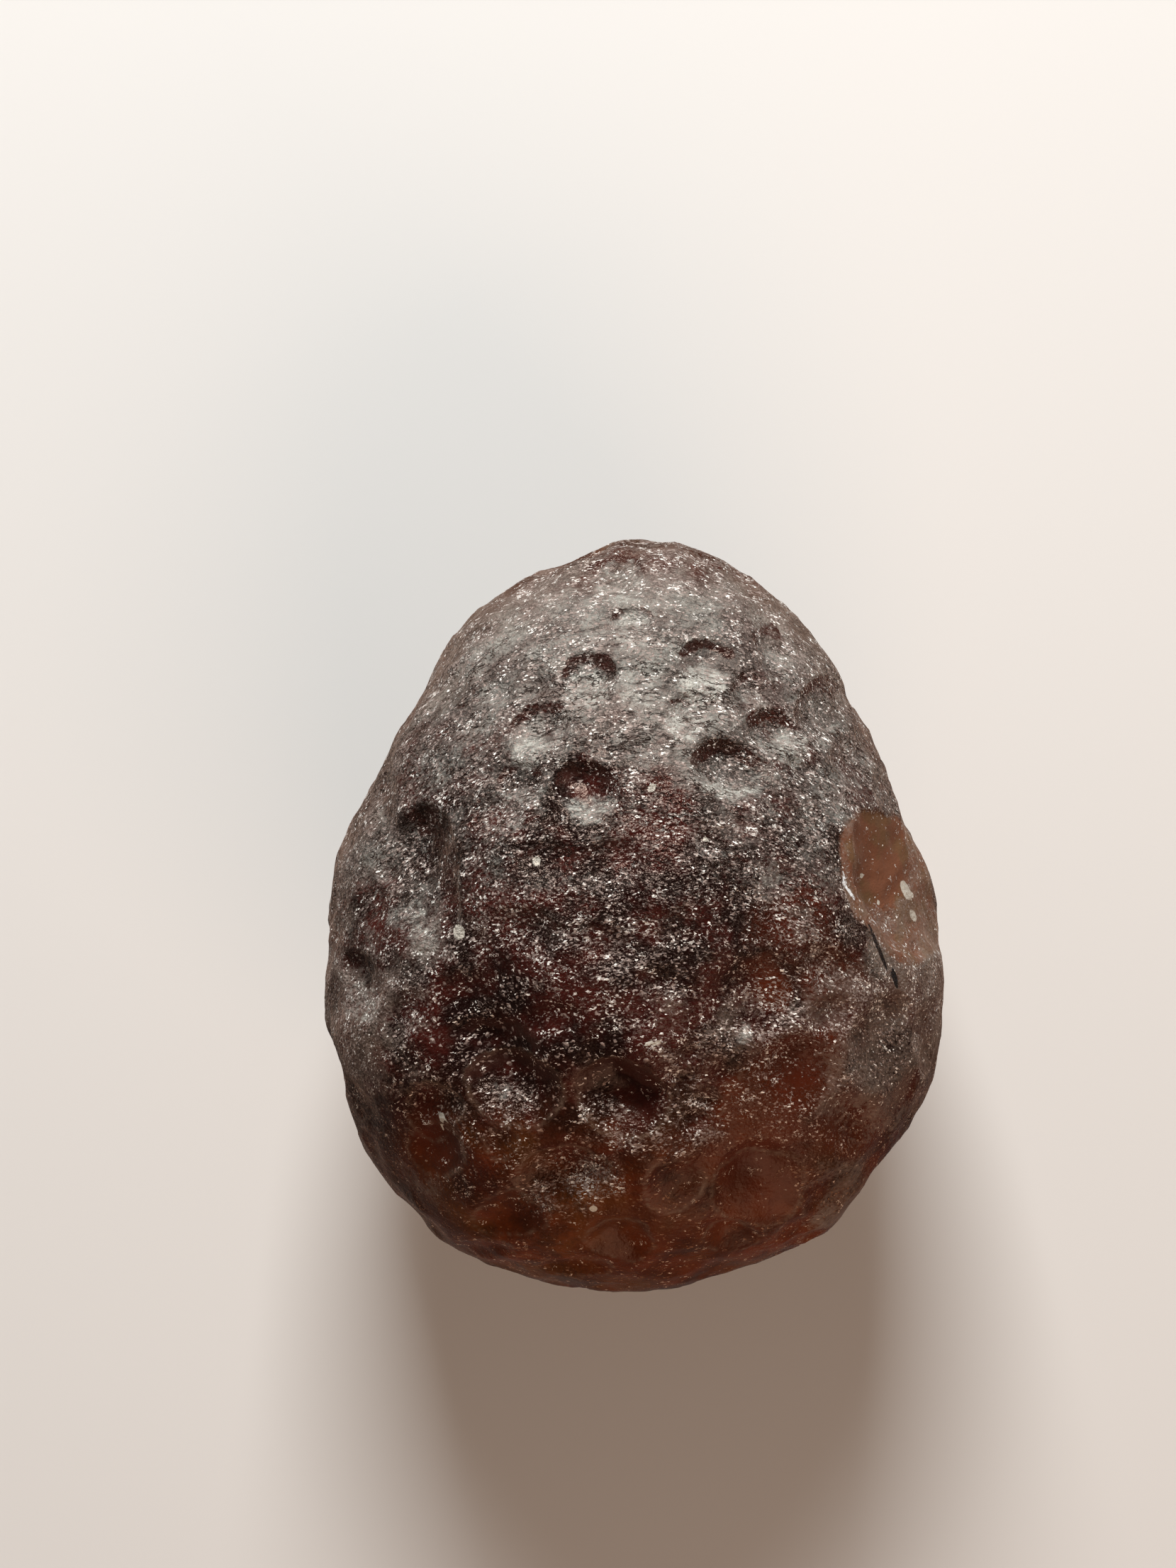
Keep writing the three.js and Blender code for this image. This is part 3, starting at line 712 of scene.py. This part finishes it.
def frost_sheen_share(points, patches, cloud):
    """How frosted each place is, with painted sheen: most at the narrow end, which faces the window,
    and on the flanks.
    """
    frost_and_sheen = smooth_step(*FROST_SHEEN_FROM, patches[:, 1] + 2 * cloud)
    frost_and_sheen *= 1 - 0.3 * smooth_step(*LESS_FROST_FROM, points[:, 1])
    flank = smooth_step(*FLANK_FROM, np.abs(patches[:, 0]))
    flank *= smooth_step(*FLANKS_FROSTED_FROM, patches[:, 1])
    frost_and_sheen = np.maximum.reduce((frost_and_sheen, spots(patches, FROSTY), 0.8 * flank))
    return MOST_FROST * frost_and_sheen * (1 - DARK_CLEARS * spots(patches, DARK))


def brown_glow(patches, cloud):
    """How brown the glass is at each place, painted brighter as a glow of light through it: at the
    blunt end and low on the flanks.
    """
    brown = smooth_step(*BROWN_FROM, patches[:, 1] - BROWN_TILT * patches[:, 2])
    brown = np.maximum(brown, SIDE_BROWN * smooth_step(*BROWN_BELOW, patches[:, 2]))
    return brown * (0.6 + 0.4 * cloud) * (1 - 0.8 * spots(patches, DARK))


def skin(points):
    """What the skin is like at each point, and where painted shade, sheen and glow lie, from 0 to 1:
    the attributes that the material reads.
    """
    places = frayed(points, RIM_RAGGEDNESS)
    patches = frayed(points, PATCH_RAGGEDNESS)
    cloud = 0.5 + ripple(points, 5.0, CLOUD_SHIFT)
    side = smooth_step(*SIDE_BELOW, points[:, 2])
    top = smooth_step(*UPPER_SIDE_FADE, points[:, 2] / HALF_HEIGHT)
    wall, floor = pit_marks(wander(places))
    wall = np.maximum(wall, crater_wall(wander(places)))
    scoop, scoop_frost = scoop_skin(places)
    sugared = spots(patches, SUGARED)
    etched = np.clip(np.maximum(etching(patches, side, cloud), sugared), 0, 1)
    dull = smooth_step(*DULL_FROM, patches[:, 1]) * (1 - sugared)
    browned = smooth_step(*FROST_BROWN_FROM, patches[:, 1])
    browned = np.maximum(browned, smooth_step(*FROST_BROWN_BELOW, patches[:, 2]))
    cracked = smooth_step(*CRACKED_FROM, patches[:, 1])
    cracked *= 1 - 0.85 * smooth_step(*FEW_CRACKS_FROM, patches[:, 1])
    least, more = SCOOP_ETCHED
    return {
        "etched": etched * (1 - scoop) + scoop * (least + more * scoop_frost),
        "bare": spots(places, BARE),
        "frost_and_sheen": frost_sheen_share(points, patches, cloud) * (1 - scoop) + SCOOP_FROSTED * scoop * scoop_frost,
        "milky_and_sheen": np.maximum(spots(places, MILKY_AND_SHEEN), 0.8 * top * floor) * (1 - scoop),
        "wall": top * wall,
        "warm_glow": spots(patches, WARM_GLOW),
        "scoop_glow": scoop,
        # painted glow of light through the brown glass
        "low": brown_glow(patches, cloud),
        "beaded": spots(patches, BEADED),
        "dull": np.maximum(dull, 0.75 * side),
        "browned": np.maximum(browned, scoop),
        "rim_light": top * lit_dish_rims(wander(places)),
        "cracked": cracked * (1 - scoop),
        "inclusion": slivers(points, INCLUSIONS),
        "edge": slivers(points, EDGES),
        "glint": slivers(points, GLINTS),
    }


def into_box(points, low, high):
    """Points in metres, centred in the solid's box and shrunk where they would reach out of it."""
    points = points * MM
    own_low, own_high = points.min(axis=0), points.max(axis=0)
    share = np.minimum(1, (high - low) / (own_high - own_low))
    moved = (points - (own_low + own_high) / 2) * share + (low + high) / 2
    moved[:, 2] += low[2] - moved[:, 2].min()
    return moved


# ---- Node helpers


def node(tree, kind, inputs=None, **settings):
    """A new node with its settings made and its inputs set or linked."""
    made = tree.nodes.new(kind)
    for name, value in settings.items():
        setattr(made, name, value)
    for name, value in (inputs or {}).items():
        if isinstance(value, bpy.types.NodeSocket):
            tree.links.new(value, made.inputs[name])
        else:
            made.inputs[name].default_value = value
    return made


def math_node(tree, operation, *values, clamp=False):
    """The output of a Math node."""
    made = node(tree, "ShaderNodeMath", dict(enumerate(values)), operation=operation, use_clamp=clamp)
    return made.outputs[0]


def ramp(tree, value, low, high, to_low=0.0, to_high=1.0):
    """The output of a smooth Map Range node."""
    inputs = {"Value": value, "From Min": low, "From Max": high, "To Min": to_low, "To Max": to_high}
    return node(tree, "ShaderNodeMapRange", inputs, interpolation_type="SMOOTHSTEP").outputs[0]


def times(tree, *values):
    """The product of the values."""
    return reduce(lambda a, b: math_node(tree, "MULTIPLY", a, b), values)


def highest(tree, *values):
    """The highest of the values."""
    return reduce(lambda a, b: math_node(tree, "MAXIMUM", a, b), values)


def minus(tree, a, b):
    """The first value less the second."""
    return math_node(tree, "SUBTRACT", a, b)


def sloped(tree, value, slope, start):
    """The value times the slope, and the start added."""
    return math_node(tree, "MULTIPLY_ADD", value, slope, start)


def vector_node(tree, operation, *values):
    """A Vector Math node."""
    return node(tree, "ShaderNodeVectorMath", dict(enumerate(values)), operation=operation)


def mix_colour(tree, share, a, b):
    """The output of a Mix node for colours."""
    return node(tree, "ShaderNodeMix", {0: share, 6: a, 7: b}, data_type="RGBA").outputs[2]


def attribute(tree, name):
    """The value of one of the mesh's own attributes."""
    return node(tree, "ShaderNodeAttribute", attribute_name=name).outputs["Fac"]


def noise_value(tree, place, scale, detail, roughness):
    """The value of a noise texture, about 0 to 1."""
    inputs = {"Vector": place, "Scale": scale, "Detail": detail, "Roughness": roughness}
    return node(tree, "ShaderNodeTexNoise", inputs).outputs[0]


def clouds(tree, place, kind):
    """Soft patches of a noise: the kind is the noise's three numbers, and then the ramp's."""
    return ramp(tree, noise_value(tree, place, *kind[:3]), *kind[3:])


# ---- The glass


def flow_place(tree, place):
    """Places along the flow of the etching: squeezed along X, and bent down towards both flanks."""
    x, y, z = node(tree, "ShaderNodeSeparateXYZ", {0: place}).outputs
    bent = math_node(tree, "ADD", y, times(tree, x, x, FLOW_BEND))
    inputs = {0: times(tree, x, FLOW_SQUEEZE), 1: bent, 2: z}
    return node(tree, "ShaderNodeCombineXYZ", inputs).outputs[0]


def shaken(tree, place, scale, reach):
    """Places moved a little every way by a noise, so that what is drawn on them comes out ragged."""
    ragged = node(tree, "ShaderNodeTexNoise", {"Vector": place, "Scale": scale, "Detail": 1.0})
    reaches = (reach, reach, reach)
    return vector_node(tree, "MULTIPLY_ADD", ragged.outputs["Color"], reaches, place).outputs[0]


def share_of(tree, own, share):
    """How far each cell's own number, 0 to 1, is among the given highest share of them: 0 to 1."""
    over = minus(tree, own, minus(tree, 1.0, share))
    return math_node(tree, "DIVIDE", over, highest(tree, share, 0.01), clamp=True)


def chips(tree, place, scale, share):
    """Flat chips, the given share of them bright, each to its own degree."""
    cells = node(tree, "ShaderNodeTexVoronoi", {"Vector": place, "Scale": scale})
    own = node(tree, "ShaderNodeSeparateColor", {0: cells.outputs["Color"]}).outputs[0]
    return math_node(tree, "POWER", share_of(tree, own, share), 1.4)


def flecks(tree, place, kind, least):
    """Ragged flecks of every size, where the kind of noise rises over the given least value."""
    return ramp(tree, minus(tree, noise_value(tree, place, *kind), least), 0.0, 0.2)


def threads(tree, place, scale, width, least):
    """Thin winding lines, broken where a second noise is under the least value: 1 on a line."""
    away = minus(tree, noise_value(tree, place, scale, 2.0, 0.6), 0.5)
    away = math_node(tree, "ABSOLUTE", away)
    line = ramp(tree, away, 0.3 * width, width, 1.0, 0.0)
    broken = minus(tree, noise_value(tree, place, 0.83 * scale, 0.0, 0.5), least)
    return times(tree, line, ramp(tree, broken, -0.03, 0.03))


def beads(tree, place, scale, share):
    """Small round beads, the given share of them bright, each lit on a side of its own."""
    cells = node(tree, "ShaderNodeTexVoronoi", {"Vector": place, "Scale": scale})
    colour, middle = cells.outputs["Color"], cells.outputs["Position"]
    _, green, blue = node(tree, "ShaderNodeSeparateColor", {0: colour}).outputs[:3]
    size = sloped(tree, green, 0.32, 0.18)
    disc = ramp(tree, math_node(tree, "DIVIDE", cells.outputs["Distance"], size), 0.7, 1.0, 1.0, 0.0)
    away = vector_node(tree, "SUBTRACT", place, middle).outputs[0]
    outward = vector_node(tree, "NORMALIZE", away).outputs[0]
    lit_from = vector_node(tree, "SUBTRACT", colour, (0.5, 0.5, 0.5)).outputs[0]
    side = vector_node(tree, "DOT_PRODUCT", outward, lit_from).outputs["Value"]
    bright = ramp(tree, share_of(tree, blue, share), 0.0, 0.7)
    return times(tree, disc, ramp(tree, side, -0.2, 0.3, 0.3, 1.0), bright)


def sugar(tree, place, flow, etched, beaded):
    """How bright the skin's grains are, 0 to 1: chips, flecks, beads and short strokes."""
    dense = times(tree, etched, sloped(tree, clouds(tree, flow, GRAIN_CROWDS), 0.8, 0.2))
    kinds = (
        chips(tree, shaken(tree, flow, *CHIP_SHAKE), CHIP_SCALE, sloped(tree, dense, 0.72, 0.004)),
        flecks(tree, flow, FLECKS, sloped(tree, dense, -0.26, 0.76)),
        beads(tree, shaken(tree, place, *BEAD_SHAKE), BEAD_SCALE, sloped(tree, beaded, 0.7, 0.01)),
        threads(tree, shaken(tree, place, *STROKE_SHAKE), *STROKES, sloped(tree, dense, -0.1, 0.68)),
    )
    grains = highest(tree, *(times(tree, kind, most) for kind, most in zip(kinds, BRIGHTNESS)))
    return times(tree, grains, clouds(tree, place, GRAIN_PATCHES))


def cracks(tree, flow, cracked):
    """Short thin clefts that run along the flow: 1 in a cleft."""
    stretched = vector_node(tree, "MULTIPLY", flow, CRACK_STRETCH).outputs[0]
    fine = threads(tree, shaken(tree, stretched, *CRACK_SHAKE), *FINE_CRACKS, CRACKS_LEAST[0])
    broad = threads(tree, stretched, *BROAD_CRACKS, CRACKS_LEAST[1])
    return times(tree, highest(tree, fine, broad), clouds(tree, stretched, CRACK_CROWDS), cracked)


def crisp(tree, amount, ragged, reach, low, high):
    """A patch with a ragged edge: none of it up to low, all of it from high."""
    return ramp(tree, sloped(tree, minus(tree, ragged, 0.5), reach, amount), low, high)


def sliver(tree, nearness, ragged, reach, low, high):
    """A small sharp mark: none of it up to low, all of it from high."""
    return ramp(tree, sloped(tree, ragged, reach, nearness), low, high)


def frost_sheen_haze(tree, place, fine, frost_and_sheen, wall):
    """How much frost and painted sheen there is, 0 to 1: flakes where it is thin, an even grey where it
    is thick, and less under the painted wall shade.
    """
    patches = times(tree, noise_value(tree, place, *FROST_PATCHES), 2.4)
    uneven = minus(tree, sloped(tree, fine, 3.2, patches), 2.8)
    uneven = times(tree, uneven, sloped(tree, frost_and_sheen, -0.65, 1.0))
    amount = math_node(tree, "ADD", sloped(tree, frost_and_sheen, 1.62, -0.7), uneven, clamp=True)
    return times(tree, amount, sloped(tree, wall, -0.75, 1.0))


def clear_glass(tree, place, fine, look):
    """The glass without frost: near black on the crown, brown low down, in warm spots and in the scoop,
    painted brighter as a glow of light through it, with painted highlight on the bowls' rims and
    painted shade on the pits' walls.
    """
    body = mix_colour(tree, clouds(tree, place, BODY_PATCHES), *CROWN_GLASS)
    brown = mix_colour(tree, clouds(tree, place, SMOKE), *GLOWING_BROWN_GLASS)
    brown = mix_colour(tree, clouds(tree, place, SMEARS), brown, SMEARED_GLASS)
    body = mix_colour(tree, look["low"], body, brown)
    body = mix_colour(tree, look["warm_glow"], body, WARM_GLOW_GLASS)
    lit_rims = times(tree, look["rim_light"], ramp(tree, fine, 0.4, 0.6, 0.2, 0.7))
    body = mix_colour(tree, lit_rims, body, RIM_LIGHT)
    scoop = mix_colour(tree, clouds(tree, place, OLIVE_PATCHES), *GLOWING_SCOOP_GLASS)
    body = mix_colour(tree, look["scoop_glow"], body, scoop)
    return mix_colour(tree, times(tree, look["wall"], 0.75), body, WALL_SHADE)


def frost_sheen_glass(tree, place, body, haze, look):
    """The glass greyed or browned by frost and its painted sheen, and veiled by milky fibres where the
    milky patches and the painted sheen of the pits' lower floors lie.
    """
    mottle = clouds(tree, place, MOTTLE)
    grey = mix_colour(tree, mottle, *GREY_FROST_SHEEN)
    tan = mix_colour(tree, mottle, *TAN_FROST)
    body = mix_colour(tree, haze, body, mix_colour(tree, look["browned"], grey, tan))
    stretched = vector_node(tree, "MULTIPLY", place, FIBRE_STRETCH).outputs[0]
    return mix_colour(tree, times(tree, look["milky_and_sheen"], clouds(tree, stretched, FIBRES)), body, MILK_AND_SHEEN)


def grainy_glass(tree, flow, body, grains, look):
    """The glass with its fine grit and its grains: faint ones, and sparkling ones among them."""
    dull = look["dull"]
    grit = times(
        tree,
        flecks(tree, flow, GRIT, 0.49),
        sloped(tree, look["etched"], 0.53, 0.12),
        sloped(tree, look["scoop_glow"], -0.6, 1.0),
    )
    body = mix_colour(tree, grit, body, mix_colour(tree, dull, *GRIT_COLOURS))
    faint = mix_colour(tree, dull, *FAINT_COLOURS)
    sparkling = mix_colour(tree, dull, *SPARKLING_COLOURS)
    dim = mix_colour(tree, ramp(tree, grains, 0.0, 0.5), body, faint)
    return mix_colour(tree, ramp(tree, grains, 0.5, 1.0), dim, sparkling)


def marked_glass(tree, body, clefts, ragged, fine, look):
    """The glass with its clefts in painted shade, pale inclusions, painted shade along the scoop's rim
    and bright painted glints.
    """
    body = mix_colour(tree, times(tree, clefts, 0.92), body, CLEFT_SHADE)
    pale = mix_colour(tree, fine, *INCLUSION)
    body = mix_colour(tree, sliver(tree, look["inclusion"], ragged, *INCLUSION_EDGE), body, pale)
    body = mix_colour(tree, sliver(tree, look["edge"], ragged, *RIM_SHADE_EDGE), body, RIM_SHADE)
    return mix_colour(tree, sliver(tree, look["glint"], fine, *GLINT_EDGE), body, GLINT)


def skin_look(tree, ragged):
    """The skin's attributes, some with crisp ragged edges, and clean where the glass is bare and partly
    under the painted wall shade.
    """
    look = {name: attribute(tree, name) for name in SKIN}
    for name, edge in (("bare", BARE_EDGE), ("wall", WALL_SHADE_EDGE), ("milky_and_sheen", MILKY_SHEEN_EDGE)):
        look[name] = crisp(tree, look[name], ragged, *edge)
    clean = highest(tree, look["bare"], times(tree, look["wall"], 0.4))
    unclean = minus(tree, 1.0, clean)
    for name in ("etched", "frost_and_sheen", "beaded"):
        look[name] = times(tree, look[name], unclean)
    return look


def grain_bumps(tree, place, grains, clefts, etched):
    """The normals of the rough ground, with grains raised and clefts sunk."""
    height = sloped(tree, grains, 0.3, noise_value(tree, place, *ROUGH))
    height = sloped(tree, clefts, -0.5, height)
    height = times(tree, height, ramp(tree, etched, 0.0, 1.0, 0.2, 1.0))
    inputs = {"Height": height, "Strength": 1.0, "Distance": 0.1 * MM}
    return node(tree, "ShaderNodeBump", inputs).outputs[0]


def glass():
    """Dark brown glass with an etched, sugary skin, and painted shade, sheen, glow and glints."""
    made = bpy.data.materials.new("tektite_glass")
    made.use_nodes = True
    tree = made.node_tree
    inputs = {0: node(tree, "ShaderNodeTexCoord").outputs["Object"], "Scale": 1 / MM}
    place = node(tree, "ShaderNodeVectorMath", inputs, operation="SCALE").outputs[0]
    flow = flow_place(tree, place)
    ragged = noise_value(tree, place, *RAGGED)
    fine = noise_value(tree, flow, *FINE)
    look = skin_look(tree, ragged)
    grains = sugar(tree, place, flow, look["etched"], look["beaded"])
    grains = times(tree, grains, sloped(tree, look["dull"], -0.15, 1.0))
    clefts = cracks(tree, flow, look["cracked"])
    haze = frost_sheen_haze(tree, place, fine, look["frost_and_sheen"], look["wall"])
    body = clear_glass(tree, place, fine, look)
    body = frost_sheen_glass(tree, place, body, haze, look)
    body = grainy_glass(tree, flow, body, grains, look)
    body = marked_glass(tree, body, clefts, ragged, fine, look)
    bumps = grain_bumps(tree, place, grains, clefts, look["etched"])

    shader = tree.nodes["Principled BSDF"]
    tree.links.new(body, shader.inputs["Base Color"])
    tree.links.new(ramp(tree, haze, 0.0, 1.0, *ROUGHNESS), shader.inputs["Roughness"])
    tree.links.new(bumps, shader.inputs["Normal"])
    shader.inputs["IOR"].default_value = 1.5
    shader.inputs["Specular IOR Level"].default_value = 0.12
    shader.inputs["Specular Tint"].default_value = (1.0, 0.75, 0.62, 1)
    shader.inputs["Transmission Weight"].default_value = 0.25
    shader.inputs["Sheen Weight"].default_value = 0.13
    shader.inputs["Sheen Roughness"].default_value = 0.3
    shader.inputs["Sheen Tint"].default_value = (1.0, 0.66, 0.5, 1)
    absorption = node(
        tree, "ShaderNodeVolumeAbsorption", {"Color": (0.75, 0.42, 0.15, 1), "Density": 700.0}
    )
    tree.links.new(absorption.outputs[0], tree.nodes["Material Output"].inputs["Volume"])
    return made


def plain(name, colour, roughness):
    """A plain material for the stage."""
    made = bpy.data.materials.new(name)
    made.use_nodes = True
    shader = made.node_tree.nodes["Principled BSDF"]
    shader.inputs["Base Color"].default_value = (*colour, 1)
    shader.inputs["Roughness"].default_value = roughness
    return made


# ---- Objects


def add_mesh(name, points, faces, material):
    """A new smooth-shaded mesh object."""
    mesh = bpy.data.meshes.new(name)
    mesh.from_pydata(points.tolist(), [], faces.tolist())
    mesh.polygons.foreach_set("use_smooth", [True] * len(mesh.polygons))
    mesh.materials.append(material)
    made = bpy.data.objects.new(name, mesh)
    bpy.context.scene.collection.objects.link(made)
    return made


def add_attribute(obj, name, values):
    """A value for each vertex, which the material reads."""
    layer = obj.data.attributes.new(name, "FLOAT", "POINT")
    layer.data.foreach_set("value", values.astype(np.float32))


def make_stone():
    """The whole stone, riding on the frame in place of its solid."""
    directions, triangles = fine_sphere(CUTS)
    points = stone_surface(directions)
    low, high = (np.array(corner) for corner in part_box(NODE))
    stone = add_mesh("tektite_stone", into_box(points, low, high), triangles, glass())
    for name, values in skin(points).items():
        add_attribute(stone, name, values)
    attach(stone, "root")
    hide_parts(NODE)


def make_floor():
    """A wide pale floor, which isn't part of the stone."""
    square = ((-1, -1, 0), (1, -1, 0), (1, 1, 0), (-1, 1, 0))
    faces = np.array(((0, 1, 2, 3),))
    floor_paint = plain("pale_floor", FLOOR_COLOUR, FLOOR_ROUGHNESS)
    floor = add_mesh("floor", FLOOR_REACH * np.array(square), faces, floor_paint)
    floor.visible_glossy = False  # the held stone mirrors no floor


def make_camera():
    """A camera straight above the stone, a little off its middle."""
    data = bpy.data.cameras.new("camera")
    data.lens = 85
    data.sensor_width = 36
    data.clip_start = 0.001
    camera = bpy.data.objects.new("camera", data)
    camera.location = CAMERA_PLACE
    bpy.context.scene.collection.objects.link(camera)
    bpy.context.scene.camera = camera


def add_area_light(name, location, size, energy, colour):
    """A square soft light, aimed at the stone."""
    data = bpy.data.lights.new(name, "AREA")
    data.size = size
    data.energy = energy
    data.color = colour
    light = bpy.data.objects.new(name, data)
    light.location = location
    aim = Vector(AIM) - light.location
    light.rotation_euler = aim.to_track_quat("-Z", "Y").to_euler()
    bpy.context.scene.collection.objects.link(light)
    return light


def make_lights():
    """A broad low window light behind the narrow end, a weak fill in front and a pale sky all round."""
    add_area_light("window", *WINDOW)
    fill = add_area_light("fill", *FILL)
    fill.visible_glossy = False  # the stone doesn't mirror it
    world = bpy.data.worlds.new("sky")
    bpy.context.scene.world = world
    world.use_nodes = True
    background = world.node_tree.nodes["Background"]
    background.inputs["Color"].default_value = SKY_COLOUR
    background.inputs["Strength"].default_value = SKY_STRENGTH
    bpy.context.scene.view_settings.view_transform = "Standard"


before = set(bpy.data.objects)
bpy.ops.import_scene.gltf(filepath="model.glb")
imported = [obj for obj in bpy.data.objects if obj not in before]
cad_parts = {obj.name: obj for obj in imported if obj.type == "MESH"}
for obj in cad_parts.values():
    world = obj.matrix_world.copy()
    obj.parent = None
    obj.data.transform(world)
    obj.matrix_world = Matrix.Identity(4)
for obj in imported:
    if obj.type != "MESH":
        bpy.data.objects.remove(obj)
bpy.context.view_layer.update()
make_stone()
make_floor()
make_camera()
make_lights()
